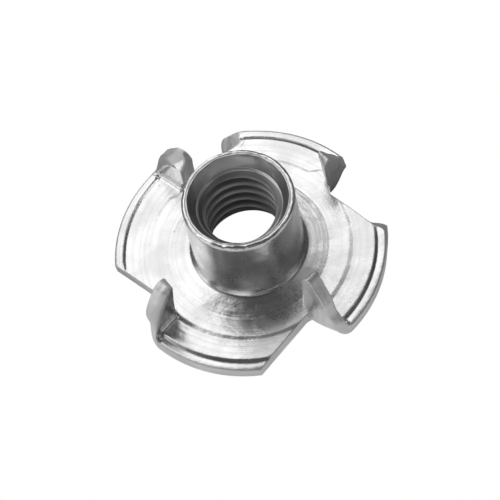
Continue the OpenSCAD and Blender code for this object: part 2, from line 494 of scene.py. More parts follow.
        # round the blunt tip
        touch = math.atan2(self.tip.y, self.tip.x)
        for a in spread(-math.pi, touch, 20):
            d = heading(a)
            add(self.tip + d * s.tip_radius, d, "tip", climb(self.tip.y + d.y * s.tip_radius))
        # the rim of the blank, up the prong's back
        for y in reversed(self.tab_rows()):
            x = math.sqrt(self.rim ** 2 - y ** 2)
            if math.atan2(y, x) > touch + self.SPOKE_ROOM and y < -s.fold_start - HAIR:
                add((x, y), (x, y), "back", climb(y))
        # the rim of the lobe
        start = math.asin(-s.fold_start / self.rim)
        reach = self.rim - s.corner_round
        corner_x = s.shear_distance - s.corner_round
        corner_angle = self.turn - math.acos(corner_x / reach)
        add((self.rim * math.cos(start), -s.fold_start), heading(start), "rim", 0)
        for a in self.spokes():
            if start + self.SPOKE_ROOM < a < corner_angle - self.SPOKE_ROOM:
                add(heading(a) * self.rim, heading(a), "rim", 0)
        # the corner of the lobe
        corner = heading(corner_angle) * reach
        for a in spread(corner_angle, self.turn, 6):
            add(corner + heading(a) * s.corner_round, heading(a), "rim", 0)
        # the outer side of the next cut, back to its foot
        spin = Matrix.Rotation(self.turn, 2)
        corner_y = -math.sqrt(reach ** 2 - corner_x ** 2)
        for y in spread(corner_y, -s.fold_start, 30)[1:]:
            add(spin @ Vector((self.slit(y), y)), spin @ Vector((1, 0)), "lobe", -s.fold_start - y)
        return path

    def tab_rows(self):
        """Where the blank is divided along the prong, closest together in the fold."""
        s = self.s
        fold_end = -s.fold_start - self.fold_length
        bevel = self.tip_end + s.tip_bevel
        rows = spread(-s.fold_start, fold_end, 14)
        rows += spread(fold_end, bevel, 12)[1:]
        rows += spread(bevel, self.tip.y, 6)[1:]
        rows += spread(self.tip.y, self.tip_end, 6)[1:]
        return rows

    def spokes(self):
        """Directions of the lattice's spokes, which the barrel shares."""
        steps = self.s.columns // self.s.prong_count
        return spread(self.foot_angle, self.foot_angle + self.turn, steps)

    def radii(self):
        """Radii of the lattice's rings, closest together at the coined steps."""
        s = self.s
        half = s.groove_width / 2
        rows = spread(self.hub, self.field - s.field_slope, 7)
        rows += spread(self.field - s.field_slope, self.field, 8)[1:]
        rows += spread(self.field, self.band - s.rim_slope, 7)[1:]
        rows += spread(self.band - s.rim_slope, self.band - half, 5)[1:]
        rows += [self.band - half / 2, self.band, self.band + half / 2, self.band + half]
        # the last ring stays clear of the rolled-over edge
        rows += spread(self.band + half, self.rim - s.rim_round * 1.4, 3)[1:]
        return rows

    def gate(self):
        """Radii along the line that joins the hub to the foot of the cut."""
        return [r for r in self.radii() if r < self.foot.length - self.GATE_ROOM]

    def lobe_lattice(self, inside):
        """Where the spokes and rings cross on the part that stays flat."""
        found = []
        for a in self.spokes():
            for r in self.radii():
                p = heading(a) * r * IN_MM
                if p.y > self.MARGIN - self.s.fold_start * IN_MM and inside(p):
                    found.append(p)
        return found

    def prong_lattice(self, inside, first):
        """Points on the prong: the edges of the coined steps, and a plain grid between them.

        Also gives the edges that join each ring's points, which are counted from first."""
        s = self.s
        rings = [self.field - s.field_slope * k for k in (1, 0.67, 0.33, 0)]
        rings += [self.band - s.rim_slope * k for k in (1, 0.6)]
        rings += [self.band + s.groove_width / 2 * k for k in (-1, 0, 1)]
        grid = spread(s.shear_distance * IN_MM + self.GRID_START, self.rim * IN_MM, self.GRID_STEPS)
        found, joined, last = [], [], {}
        for y in [row * IN_MM for row in self.tab_rows()]:
            marks = []
            for ring, r in enumerate(rings):
                x = math.sqrt(max(0, (r * IN_MM) ** 2 - y * y))
                before = last.pop(ring, None)
                if not inside(Vector((x, y))):
                    continue
                last[ring] = first + len(found)
                if before is not None:
                    joined.append((before, last[ring]))
                marks.append(x)
                found.append(Vector((x, y)))
            for x in grid:
                clear = all(abs(x - mark) > self.RING_ROOM for mark in marks)
                if clear and inside(Vector((x, y))):
                    found.append(Vector((x, y)))
        return found, joined

    def face(self, border):
        """Points and triangles that fill the border, with the lattice inside it.

        It is worked out in millimetres, which suits the precision of the meshing."""
        spokes, gate = self.spokes(), self.gate()
        loop = list(border)
        loop += [heading(spokes[-1]) * r for r in reversed(gate)]
        loop += [heading(a) * self.hub for a in reversed(spokes[1:-1])]
        loop += [heading(spokes[0]) * r for r in gate]
        points = [p * IN_MM for p in loop]
        size = len(points)
        edges = [(i, (i + 1) % size) for i in range(size)]
        segments = [(points[a], points[b]) for a, b in edges]

        def inside(p):
            return well_inside(p, segments, self.MARGIN)

        points += self.lobe_lattice(inside)
        found, joined = self.prong_lattice(inside, len(points))
        points += found
        # type 1 keeps only the triangles inside the border
        filled = geometry.delaunay_2d_cdt(points, edges + joined, [list(range(size))], 1, 1e-5)
        return [v / IN_MM for v in filled[0]], filled[2]

    def profile(self, kind, normal, measure):
        """Section of the sheared edge from the upper face to the lower.

        Each entry is (inset from the outline, share of the thickness from the top)."""
        s = self.s
        on_cut = kind in self.CUT_ROLL
        roll, depth = self.CUT_ROLL.get(kind, (s.rim_round, self.RIM_ROLL))
        # a cut starts sharp at its foot
        fade = ease(measure / self.CUT_FADE) if on_cut else 1
        depth = self.SHARP_ROLL + (depth - self.SHARP_ROLL) * fade
        if not on_cut:
            # the back's bevel fades round the tip, where the outline turns towards the barrel
            bevel = measure * ease((normal.x + 0.5) / 0.9)
            roll += (s.back_bevel - roll) * bevel
            depth += (self.BEVEL_ROLL - depth) * bevel
        rows = [(roll * (1 - math.sin(a)), depth * (1 - math.cos(a)))
                for a in spread(0, math.pi / 2, 4)]
        rows += [(self.TORN * step, share) for step, share in self.TORN_EDGE]
        if kind not in ("cut", "tip"):
            return [(inset * fade, share) for inset, share in rows]
        # the prong's cut side and its tip are narrower towards the inner face
        turned, gap = 1, s.side_gap
        if on_cut:
            turned = math.sin(min(measure / self.neutral, math.pi / 2))
            gap = self.FOOT_GAP * fade
            gap += s.side_gap * ease((measure - self.GAP_START) / self.GAP_GROWTH)
        side = max(0.0, -normal.x)
        section = []
        for inset, share in rows:
            back = s.fold_radius + s.sheet - (s.fold_radius + share * s.sheet) * turned
            section.append((inset * fade + side * (gap + back * self.draft), share))
        return section


def build_quarter(blank, name):
    """Makes one quarter of the flange with its folded prong as a mesh with open inner edges."""
    work = bmesh.new()
    cut_face = work.faces.layers.int.new("cut_face")

    # the sheared edge: one column of points for each place on the outline
    columns = []
    for point, normal, kind, measure in blank.outline():
        rows = blank.profile(kind, normal, measure)
        start = point - normal * rows[0][0]
        height = blank.top(start.x, start.y)
        columns.append([(point - normal * inset, height * (1 - share)) for inset, share in rows])
    verts = [[work.verts.new(blank.fold(p.x, p.y, z)) for p, z in column] for column in columns]
    for a, b in zip(verts, verts[1:]):
        for k in range(len(a) - 1):
            work.faces.new([a[k], a[k + 1], b[k + 1], b[k]])[cut_face] = 1

    # the upper and the lower face
    for row, upper in ((0, True), (-1, False)):
        border = [column[row][0] for column in columns]
        points, triangles = blank.face(border)
        made = [column[row] for column in verts]
        for p in points[len(border):]:
            z = blank.top(p.x, p.y) if upper else 0.0
            made.append(work.verts.new(blank.fold(p.x, p.y, z)))
        for triangle in triangles:
            work.faces.new([made[i] for i in triangle])
    return plain_mesh(work, name)


# ---------------------------------------------------------------- node trees

def make_tree(name, kind, inputs, outputs):
    """A node group with its sockets: the tree, what it is given and what it puts out.

    Inputs are (name, type) or (name, type, default), and outputs are (name, type)."""
    tree = bpy.data.node_groups.new(name, kind)
    for label, sort, *default in inputs:
        item = tree.interface.new_socket(name=label, in_out="INPUT", socket_type="NodeSocket" + sort)
        if default:
            item.default_value = default[0]
    for label, sort in outputs:
        tree.interface.new_socket(name=label, in_out="OUTPUT", socket_type="NodeSocket" + sort)
    return tree, tree.nodes.new("NodeGroupInput").outputs, tree.nodes.new("NodeGroupOutput").inputs


def put(tree, target, value):
    """Links a socket to the target, or sets the target's own value."""
    if isinstance(value, bpy.types.NodeSocket):
        tree.links.new(value, target)
    else:
        target.default_value = value


def node(tree, kind, inputs=(), **settings):
    """A node with its settings and inputs; inputs are (name or index, value or socket)."""
    made = tree.nodes.new(kind)
    for key, value in settings.items():
        setattr(made, key, value)
    for key, value in inputs:
        put(tree, made.inputs[key], value)
    return made


def calc(tree, operation, *values):
    """The result of a Math node."""
    return node(tree, "ShaderNodeMath", enumerate(values), operation=operation).outputs[0]


def smooth_range(tree, value, start, end, low=0.0, high=1.0):
    """A value eased from low, where it is at start, to high, where it is at end."""
    return node(tree, "ShaderNodeMapRange", [
        ("Value", value), ("From Min", start), ("From Max", end), ("To Min", low), ("To Max", high)],
        interpolation_type="SMOOTHSTEP").outputs[0]


def axis_distance(tree, vector):
    """How far a place lies from the Z axis."""
    xyz = node(tree, "ShaderNodeSeparateXYZ", [(0, vector)]).outputs
    return calc(tree, "SQRT", calc(tree, "ADD", calc(tree, "POWER", xyz["X"], 2.0),
                                   calc(tree, "POWER", xyz["Y"], 2.0)))


def thread_tree():
    """Tapped bore: a grid whose rows follow the helix, cut off level at both ends."""
    sizes = ("Pitch", "Minor Radius", "Major Radius", "Crest Round", "Bottom", "Top",
             "Throat Radius", "Funnel Radius", "Shoulder Radius", "Shoulder Slope",
             "Start Angle", "Phase")
    counts = ("Columns", "Rows per Turn", "Rows")
    inputs = [(name, "Float") for name in sizes] + [(name, "Int") for name in counts]
    tree, given, out = make_tree("Tapped Bore", "GeometryNodeTree",
                                 inputs + [("Material", "Material")], [("Geometry", "Geometry")])

    def m(operation, *values):
        return calc(tree, operation, *values)

    grid = node(tree, "GeometryNodeMeshGrid", [
        ("Size X", 1.0), ("Size Y", 1.0),
        ("Vertices X", m("ADD", given["Columns"], 1.0)), ("Vertices Y", given["Rows"])])
    position = node(tree, "GeometryNodeInputPosition").outputs[0]
    xyz = node(tree, "ShaderNodeSeparateXYZ", [(0, position)]).outputs
    around = m("ADD", xyz["X"], 0.5)
    row = m("MULTIPLY", m("ADD", xyz["Y"], 0.5), m("SUBTRACT", given["Rows"], 1.0))
    turns = m("DIVIDE", row, given["Rows per Turn"])
    climb = m("MULTIPLY", given["Pitch"], m("SUBTRACT", m("ADD", turns, around), 1.0))
    helix = m("ADD", given["Bottom"], climb)
    height = m("MINIMUM", m("MAXIMUM", helix, given["Bottom"]), given["Top"])
    below_top = m("SUBTRACT", given["Top"], height)

    # the thread: crest an eighth of a pitch either side of its middle, flanks at 30 degrees;
    # whole turns are added to the phase so that it never falls below 0
    part = m("FRACT", m("ADD", turns, m("ADD", given["Phase"], 10.0)))
    off = m("MULTIPLY", m("MINIMUM", part, m("SUBTRACT", 1.0, part)), given["Pitch"])
    past_crest = m("SUBTRACT", off, m("DIVIDE", given["Pitch"], 8.0))
    flank = m("DIVIDE", past_crest, math.tan(30 * DEG))
    rounded = m("SMOOTH_MAX", flank, 0.0, given["Crest Round"])
    thread = m("MINIMUM", m("ADD", given["Minor Radius"], rounded), given["Major Radius"])

    # the hole before tapping: funnel, throat cone and shoulder cone
    lift = m("MAXIMUM", m("SUBTRACT", given["Funnel Radius"], height), 0.0)
    square = m("SUBTRACT", m("POWER", given["Funnel Radius"], 2.0), m("POWER", lift, 2.0))
    centre = m("ADD", given["Throat Radius"], given["Funnel Radius"])
    funnel = m("SUBTRACT", centre, m("SQRT", square))
    above_funnel = m("MAXIMUM", m("SUBTRACT", height, given["Funnel Radius"]), 0.0)
    throat = m("SUBTRACT", funnel, above_funnel)
    shoulder = m("SUBTRACT", given["Shoulder Radius"],
                 m("DIVIDE", below_top, given["Shoulder Slope"]))
    hole = m("MAXIMUM", throat, shoulder)

    # the tap reaches its full depth some way below the shoulder
    reach = m("ADD", given["Shoulder Radius"], below_top)
    radius = m("MAXIMUM", hole, m("MINIMUM", thread, reach))
    theta = m("ADD", given["Start Angle"], m("MULTIPLY", around, 2 * math.pi))
    place = node(tree, "ShaderNodeCombineXYZ", [
        ("X", m("MULTIPLY", radius, m("COSINE", theta))),
        ("Y", m("MULTIPLY", radius, m("SINE", theta))), ("Z", height)]).outputs[0]
    moved = node(tree, "GeometryNodeSetPosition", [
        ("Geometry", grid.outputs["Mesh"]), ("Position", place)]).outputs[0]
    merged = node(tree, "GeometryNodeMergeByDistance", [
        ("Geometry", moved), ("Distance", PART_WELD)]).outputs[0]
    real = node(tree, "GeometryNodeRealizeInstances", [("Geometry", merged)]).outputs[0]
    last = node(tree, "GeometryNodeSetMaterial", [
        ("Geometry", real), ("Material", given["Material"])]).outputs[0]
    put(tree, out[0], last)
    return tree


def repeat_tree():
    """Polar repeat: copies of a part about the Z axis, welded where they meet."""
    tree, given, out = make_tree(
        "Polar Repeat", "GeometryNodeTree",
        [("Geometry", "Geometry"), ("Count", "Int"), ("First Angle", "Float"),
         ("Weld Distance", "Float"), ("Face Material", "Material"), ("Cut Material", "Material")],
        [("Geometry", "Geometry")])
    points = node(tree, "GeometryNodeMeshLine", [
        ("Count", given["Count"]), ("Offset", (0, 0, 0))]).outputs[0]
    index = node(tree, "GeometryNodeInputIndex").outputs[0]
    step = calc(tree, "DIVIDE", 2 * math.pi, given["Count"])
    turn = calc(tree, "ADD", given["First Angle"], calc(tree, "MULTIPLY", index, step))
    spin = node(tree, "ShaderNodeCombineXYZ", [("Z", turn)]).outputs[0]
    copies = node(tree, "GeometryNodeInstanceOnPoints", [
        ("Points", points), ("Instance", given["Geometry"]), ("Rotation", spin)]).outputs[0]
    real = node(tree, "GeometryNodeRealizeInstances", [("Geometry", copies)]).outputs[0]
    weld = node(tree, "GeometryNodeMergeByDistance", [
        ("Geometry", real), ("Distance", given["Weld Distance"])]).outputs[0]
    plain = node(tree, "GeometryNodeSetMaterial", [
        ("Geometry", weld), ("Material", given["Face Material"])]).outputs[0]
    is_cut = node(tree, "GeometryNodeInputNamedAttribute", [("Name", "cut_face")], data_type="INT")
    sheared = node(tree, "GeometryNodeSetMaterial", [
        ("Geometry", plain), ("Selection", is_cut.outputs["Attribute"]),
        ("Material", given["Cut Material"])]).outputs[0]
    put(tree, out[0], sheared)
    return tree


def run_tree(obj, tree, values):
    """Runs a node tree on an object, returns the plain mesh that it makes and drops the object."""
    modifier = obj.modifiers.new(tree.name, "NODES")
    modifier.node_group = tree
    names = {i.name: i.identifier for i in tree.interface.items_tree
             if i.item_type == "SOCKET" and i.in_out == "INPUT"}
    for name, value in values.items():
        modifier[names[name]] = value
    bpy.context.view_layer.update()
    graph = bpy.context.evaluated_depsgraph_get()
    mesh = bpy.data.meshes.new_from_object(
        obj.evaluated_get(graph), preserve_all_data_layers=True, depsgraph=graph)
    obj.modifiers.remove(modifier)
    bpy.data.objects.remove(obj)
    return mesh


# ---------------------------------------------------------------- the barrel

def arc(centre, radius, start, end, steps):
    """Points of an arc in the section, angles in degrees from the outward direction."""
    return [(centre[0] + radius * math.cos(a * DEG), centre[1] + radius * math.sin(a * DEG))
            for a in spread(start, end, steps)]


def barrel_section(s):
    """Half section from the hub up the outside of the barrel to the crown of its rim."""
    slope, mouth = s.hub_slope, s.mouth_round
    hub, barrel = s.hub_dia / 2, s.barrel_dia / 2
    foot_z = s.sheet + s.field_rise
    cone = (hub - barrel - s.foot_fillet) * math.tan(slope)
    fillet = (barrel + s.foot_fillet, foot_z + cone + s.foot_fillet / math.cos(slope))
    bend = arc(fillet, s.foot_fillet, 270 - slope / DEG, 180, 9)
    # the cone is divided more closely at its foot, where it meets the field
    section = [(hub + (bend[0][0] - hub) * t, foot_z + (bend[0][1] - foot_z) * t)
               for t in (0, 0.03, 0.1, 0.25, 0.4, 0.55, 0.7, 0.85)]
    section += bend
    section += [(barrel, z) for z in spread(bend[-1][1], s.nut_height - mouth, 34)[1:-1]]
    section += arc((barrel - mouth, s.nut_height - mouth), mouth, 0, 90, 6)
    return section


# The crown is a shallow groove between two beads: (share of its width, drop in millimetres)
CROWN_GROOVE = ((0.1, 0.006), (0.3, 0.026), (0.5, 0.034), (0.7, 0.026), (0.9, 0.006))
# Radii where the crown turns into the countersink, and where that meets its ledge
LIP_ROUND = 0.07 * MM
LEDGE_ROUND = 0.06 * MM


def mouth_section(s):
    """From the rim's outer bead over the crown, down the countersink and over its ledge."""
    top = s.nut_height
    edge = s.barrel_dia / 2 - s.mouth_round
    lip, bore = s.mouth_dia / 2, s.entry_dia / 2
    crown = edge - lip - LIP_ROUND
    section = [(edge, top)]
    section += [(edge - crown * share, top - drop * MM) for share, drop in CROWN_GROOVE]
    section += arc((lip + LIP_ROUND, top - LIP_ROUND), LIP_ROUND, 90, 180, 4)
    ledge_z = top - s.countersink_depth + s.ledge * math.tan(s.ledge_slope)
    wall_x, wall_z = bore + s.ledge, ledge_z + LEDGE_ROUND
    section += [(lip + (wall_x - lip) * t, top - LIP_ROUND + (wall_z - top + LIP_ROUND) * t)
                for t in spread(0, 1, 12)[1:]]
    section += arc((wall_x - LEDGE_ROUND, wall_z), LEDGE_ROUND, 0, -90, 3)[1:]
    section.append((bore, top - s.countersink_depth))
    return section


def funnel_section(s, low):
    """From the end of the tapped bore down the funnel and out under the flange."""
    centre = s.throat_dia / 2 + s.funnel_radius
    start = math.acos((s.funnel_radius - low) / s.funnel_radius) / DEG
    turned = arc((centre, s.funnel_radius), s.funnel_radius, 270 - start, 270, 14)
    return turned + [(r, 0.0) for r in spread(centre, s.hub_dia / 2, 5)[1:]]


def uneven_rim(s, p):
    """Makes the turned-over rim of the barrel slightly uneven, with lumps and finer ripples."""
    lump_size, ripple_size, ripple_share, lift = 0.7 * MM, 0.28 * MM, 0.6, 0.06 * MM
    top = ease((p.z - s.nut_height + 0.4 * MM) / (0.3 * MM))
    if not top or math.hypot(p.x, p.y) < s.mouth_dia / 2 - 0.1 * MM:
        return p
    uneven = noise.noise(p / lump_size) + ripple_share * noise.noise(p / ripple_size)
    return Vector((p.x, p.y, p.z + top * uneven * lift))


def revolve(name, section, columns, start_angle, material):
    """Mesh of a half section turned about the Z axis."""
    work = bmesh.new()
    angles = [start_angle + 2 * math.pi * i / columns for i in range(columns)]
    rings = [[work.verts.new((r * math.cos(a), r * math.sin(a), z)) for a in angles]
             for r, z in section]
    for low, high in zip(rings, rings[1:]):
        for i in range(columns):
            j = (i + 1) % columns
            work.faces.new((low[i], low[j], high[j], high[i]))
    mesh = plain_mesh(work, name)
    mesh.materials.append(material)
    return mesh


def bore_start(s):
    """Height where the tapped bore starts: there the funnel is just wider than the thread."""
    gap = (s.throat_dia - s.thread_dia) / 2 + s.funnel_radius - 0.05 * MM
    return s.funnel_radius - math.sqrt(s.funnel_radius ** 2 - gap ** 2)


def thread_values(s, start_angle, material):
    """Inputs of the tapped bore's node tree."""
    rows_per_turn = 24
    low, top = bore_start(s), s.nut_height - s.countersink_depth
    # the grid starts a turn below the bore, because its rows climb with the helix
    rows = math.ceil((top - low) / s.thread_pitch * rows_per_turn) + rows_per_turn + 1
    return {
        "Pitch": s.thread_pitch, "Minor Radius": minor_radius(s), "Major Radius": s.thread_dia / 2,
        "Crest Round": 0.08 * MM, "Bottom": low, "Top": top,
        "Throat Radius": s.throat_dia / 2, "Funnel Radius": s.funnel_radius,
        "Shoulder Radius": s.entry_dia / 2, "Shoulder Slope": math.tan(s.lead_in),
        "Start Angle": start_angle, "Phase": s.thread_phase,
        "Columns": s.columns, "Rows per Turn": rows_per_turn, "Rows": rows, "Material": material}


# ---------------------------------------------------------------- finish

# What lies in the pits of the plate
PIT_COLOUR = (0.12, 0.12, 0.12, 1)


def new_material(name):
    """A material with nodes: the material, its tree and the Object coordinates in it."""
    material = bpy.data.materials.new(name)
    material.use_nodes = True
    tree = material.node_tree
    return material, tree, node(tree, "ShaderNodeTexCoord").outputs["Object"]


def principled(tree, **values):
    """Sets or links the inputs of the material's own shader."""
    shader = tree.nodes["Principled BSDF"]
    for key, value in values.items():
        put(tree, shader.inputs[key.replace("_", " ")], value)
    return shader


def grain_group():
    """Fine crystalline grain of the plate with scattered pits, sizes in millimetres."""
    tree, given, out = make_tree(
        "Zinc Grain", "ShaderNodeTree",
        [("Vector", "Vector"), ("Grain Size", "Float", 0.15), ("Patch Size", "Float", 2.5),
         ("Dent Size", "Float", 1.1), ("Pit Spacing", "Float", 1.6), ("Pit Size", "Float", 0.05)],
        [("Height", "Float"), ("Dents", "Float"), ("Patches", "Float"), ("Pits", "Float")])

    def texture(kind, size, **values):
        scale = calc(tree, "DIVIDE", float(IN_MM), given[size])
        return node(tree, kind, [("Vector", given["Vector"]), ("Scale", scale), *values.items()]).outputs

    grain = texture("ShaderNodeTexNoise", "Grain Size", Detail=3.0, Roughness=0.6)["Fac"]
    cloud = texture("ShaderNodeTexNoise", "Patch Size", Detail=2.0, Roughness=0.5)["Fac"]
    dents = texture("ShaderNodeTexNoise", "Dent Size", Detail=2.0, Roughness=0.45)["Fac"]
    cells = texture("ShaderNodeTexVoronoi", "Pit Spacing", Randomness=1.0)["Distance"]
    reach = calc(tree, "DIVIDE", given["Pit Size"], given["Pit Spacing"])
    put(tree, out["Height"], grain)
    put(tree, out["Dents"], dents)
    put(tree, out["Patches"], smooth_range(tree, cloud, 0.35, 0.68))
    put(tree, out["Pits"], smooth_range(tree, cells, 0.0, reach, 1.0, 0.0))
    return tree


def ring_group():
    """Faint rings that the press leaves around the axis, sizes in millimetres."""
    tree, given, out = make_tree(
        "Press Rings", "ShaderNodeTree",
        [("Vector", "Vector"), ("Ring Spacing", "Float", 0.3), ("Wander", "Float", 0.1)],
        [("Height", "Float"), ("Tone", "Float")])
    drift = node(tree, "ShaderNodeTexNoise", [
        ("Vector", given["Vector"]), ("Scale", 220.0), ("Detail", 1.0)]).outputs["Fac"]
    wander = calc(tree, "MULTIPLY", given["Wander"], MM)
    shift = calc(tree, "MULTIPLY", calc(tree, "SUBTRACT", drift, 0.5), wander)
    spacing = calc(tree, "MULTIPLY", given["Ring Spacing"], MM)
    radius = axis_distance(tree, given["Vector"])
    along = calc(tree, "DIVIDE", calc(tree, "ADD", radius, shift), spacing)
    lines = node(tree, "ShaderNodeTexNoise", [("W", along), ("Scale", 1.0), ("Detail", 2.0)],
                 noise_dimensions="1D").outputs["Fac"]
    put(tree, out["Height"], lines)
    put(tree, out["Tone"], smooth_range(tree, lines, 0.42, 0.62))
    return tree


def mix_colour(tree, share, a, b):
    """Colour a, with the given share of colour b."""
    made = node(tree, "ShaderNodeMix", data_type="RGBA")
    # a Mix node has inputs of the same names for each type of data: 6 and 7 are its colours
    for index, value in ((0, share), (6, a), (7, b)):
        put(tree, made.inputs[index], value)
    return made.outputs[2]


def bump(tree, distance_mm, height, *below):
    """Relief from a height, on top of the relief below it where there is one."""
    inputs = [("Strength", 1.0), ("Distance", distance_mm * MM), ("Height", height)]
    return node(tree, "ShaderNodeBump", inputs + [("Normal", normal) for normal in below]).outputs[0]


def zinc_material(name, groups, colours, roughness, rings, relief, grain_size, dent):
    """Zinc plate: grain, duller patches, pits and, on the pressed faces, faint rings.

    The depths of the relief and the dents and the grain's size are in millimetres."""
    material, tree, vector = new_material(name)
    grain = node(tree, "ShaderNodeGroup", node_tree=groups["grain"])
    put(tree, grain.inputs["Vector"], vector)
    put(tree, grain.inputs["Grain Size"], grain_size)
    ring = node(tree, "ShaderNodeGroup", node_tree=groups["ring"])
    put(tree, ring.inputs["Vector"], vector)
    fine, patches, pits, dents = (grain.outputs[key] for key in ("Height", "Patches", "Pits", "Dents"))

    # colour: stained in patches and along the rings, dark in the pits
    clean, stained = colours
    tone = mix_colour(tree, calc(tree, "MULTIPLY", patches, 0.45), clean, stained)
    tone = mix_colour(tree, calc(tree, "MULTIPLY", ring.outputs["Tone"], 0.5 * rings), tone, stained)
    tone = mix_colour(tree, calc(tree, "MULTIPLY", pits, 0.8), tone, PIT_COLOUR)
    # gloss: duller in the patches and uneven with the grain
    gloss = calc(tree, "ADD", roughness, calc(tree, "MULTIPLY", patches, 0.08))
    uneven = calc(tree, "MULTIPLY", calc(tree, "SUBTRACT", fine, 0.5), 0.12)
    gloss = calc(tree, "ADD", gloss, uneven)
    # relief: grain, rings and pits on top of wide shallow dents
    height = calc(tree, "ADD", calc(tree, "MULTIPLY", fine, 0.6),
                  calc(tree, "MULTIPLY", ring.outputs["Height"], rings))
    height = calc(tree, "SUBTRACT", height, calc(tree, "MULTIPLY", pits, 1.5))
    normal = bump(tree, relief, height, bump(tree, dent, dents))
    principled(tree, Base_Color=tone, Metallic=1.0, Roughness=gloss, Normal=normal)
    return material


def thread_material(name, groups, colours, roughness, crest):
    """The tapped bore: dark in the thread, partly for its thinner plate and partly as painted shade, with
    a painted highlight along its crests.
    """
    material, tree, vector = new_material(name)
    grain = node(tree, "ShaderNodeGroup", node_tree=groups["grain"])
    put(tree, grain.inputs["Vector"], vector)
    # painted highlight: the colour turns bright near the crest radius, standing in for the light that the
    # crests catch
    highlit = smooth_range(tree, axis_distance(tree, vector),
                        crest + 0.02 * MM, crest + 0.16 * MM, 1.0, 0.0)
    patchy = calc(tree, "ADD", 0.55, calc(tree, "MULTIPLY", grain.outputs["Patches"], 0.45))
    tone = mix_colour(tree, calc(tree, "MULTIPLY", highlit, patchy), *colours)
    normal = bump(tree, 0.01, grain.outputs["Height"])
    principled(tree, Base_Color=tone, Metallic=1.0, Roughness=roughness, Normal=normal)
    return material


def zinc_materials(f, crest):
    """The nut's materials: pressed faces, sheared edges, tapped bore and countersink."""
    groups = {"grain": grain_group(), "ring": ring_group()}
    # the crest colour is a painted highlight, and the dark thread colour partly painted shade
    plate, cut, stain, thread, highlit = (tuple(c) for c in (
        f.plate_colour, f.cut_colour, f.stain_colour, f.thread_colour, f.crest_highlight_colour))
    return {
        "face": zinc_material("zinc_face", groups, (plate, stain), f.plate_roughness,
                              rings=0.68, relief=0.0095, grain_size=0.15, dent=0.035),
        "cut": zinc_material("zinc_cut_edge", groups, (cut, stain), f.cut_roughness,
                             rings=0.0, relief=0.018, grain_size=0.1, dent=0.08),
        "thread": thread_material("zinc_thread", groups, (thread, highlit), f.cut_roughness, crest),
        "mouth": zinc_material("zinc_countersink", groups, (cut, stain), f.mouth_roughness,
                               rings=0.0, relief=0.012, grain_size=0.1, dent=0.05),
    }


# ---------------------------------------------------------------- the nut

def join_parts(parts, materials):
    """Welds the parts into one closed bmesh, with its faces' materials in the given order."""
    work = bmesh.new()
    for part in parts:
        # a node tree may leave an empty slot, which no face uses
        slots = [materials.index(m) if m in materials else 0 for m in part.materials]
        before = len(work.faces)
        work.from_mesh(part)
        work.faces.ensure_lookup_table()
        for face in work.faces[before:]:
            face.material_index = slots[face.material_index]
    bmesh.ops.remove_doubles(work, verts=work.verts, dist=JOINT_WELD)
    bmesh.ops.dissolve_degenerate(work, dist=SLIVER, edges=work.edges)
    gaps = [edge for edge in work.edges if len(edge.link_faces) != 2]
    if gaps:
        raise RuntimeError("the nut isn't closed: %d edges, the first one at %s"
                           % (len(gaps), gaps[0].verts[0].co))
    return work


class TEENUT_OT_build_nut(bpy.types.Operator):
    """Build the tee nut: flange, folded prongs, drawn barrel and tapped bore, as one closed mesh"""
    bl_idname = "teenut.build_nut"
    bl_label = "Build Tee Nut"

    def execute(self, context):
        s = context.scene.tee_nut_sizes
        paint = zinc_materials(context.scene.tee_nut_finish, minor_radius(s))
        blank = Blank(s)
        first = math.pi / s.prong_count
        start_angle = first + blank.foot_angle

        quarter = add_object("quarter", build_quarter(blank, "quarter"))
        bore = add_object("bore", bpy.data.meshes.new("bore"))
        parts = [
            run_tree(quarter, repeat_tree(), {
                "Count": s.prong_count, "First Angle": first, "Weld Distance": PART_WELD,
                "Face Material": paint["face"], "Cut Material": paint["cut"]}),
            run_tree(bore, thread_tree(), thread_values(s, start_angle, paint["thread"]))]
        for name, section, finish in (("outside", barrel_section(s), "face"),
                                      ("mouth", mouth_section(s), "mouth"),
                                      ("funnel", funnel_section(s, bore_start(s)), "face")):
            parts.append(revolve(name, section, s.columns, start_angle, paint[finish]))

        materials = list(paint.values())
        work = join_parts(parts, materials)
        for vert in work.verts:
            vert.co = uneven_rim(s, blank.settle(vert.co, first))
        bmesh.ops.recalc_face_normals(work, faces=work.faces)
        for face in work.faces:
            face.smooth = True
        mesh = plain_mesh(work, "tee_nut_pressed")
        for material in materials:
            mesh.materials.append(material)
        mesh.set_sharp_from_angle(angle=SHARP_ANGLE)
        nut = add_object("tee_nut_pressed", mesh)
        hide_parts("tee_nut")
        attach(nut, "root")
        return {"FINISHED"}


# ---------------------------------------------------------------- the stage

# Soft panels around the nut: name, azimuth and elevation in degrees (0 is in front and 90 to
# the right), then distance, width and height in metres, and brightness
PANELS = (
    ("panel_back", 211, 56, 0.5, 0.62, 0.33, 1.32),
    ("panel_back_low", 200, 13, 0.6, 0.3, 0.18, 2.6),
    ("panel_left", 270, 48, 0.5, 0.3, 0.4, 0.55),
    ("panel_left_low", 283, 15, 0.6, 0.5, 0.26, 1.25),
    ("panel_front_low", 335, 14, 0.6, 0.35, 0.16, 1.25),
    ("panel_front", 0, 36, 0.5, 0.4, 0.1, 0.4),
    ("panel_right_low", 62, 20, 0.6, 0.22, 0.16, 0.8),
    ("panel_right_back", 140, 48, 0.5, 0.26, 0.34, 0.45),
    ("panel_right", 98, 60, 0.5, 0.24, 0.26, 0.22),
)
WHITE = (1, 1, 1, 1)
# The floor lies this far below the nut, so that the two faces don't show through each other
FLOOR_GAP = 0.02 * MM
# From back to front, the stretch of the floor over which its glow grows
GLOW_START, GLOW_END = 4 * MM, -7 * MM
# Brightness of the surroundings for everything but the camera
WORLD_LIGHT = 0.055
# Width of the camera's sensor in millimetres, and the distances in metres that it sees
SENSOR = 36
NEAR, FAR = 0.01, 10


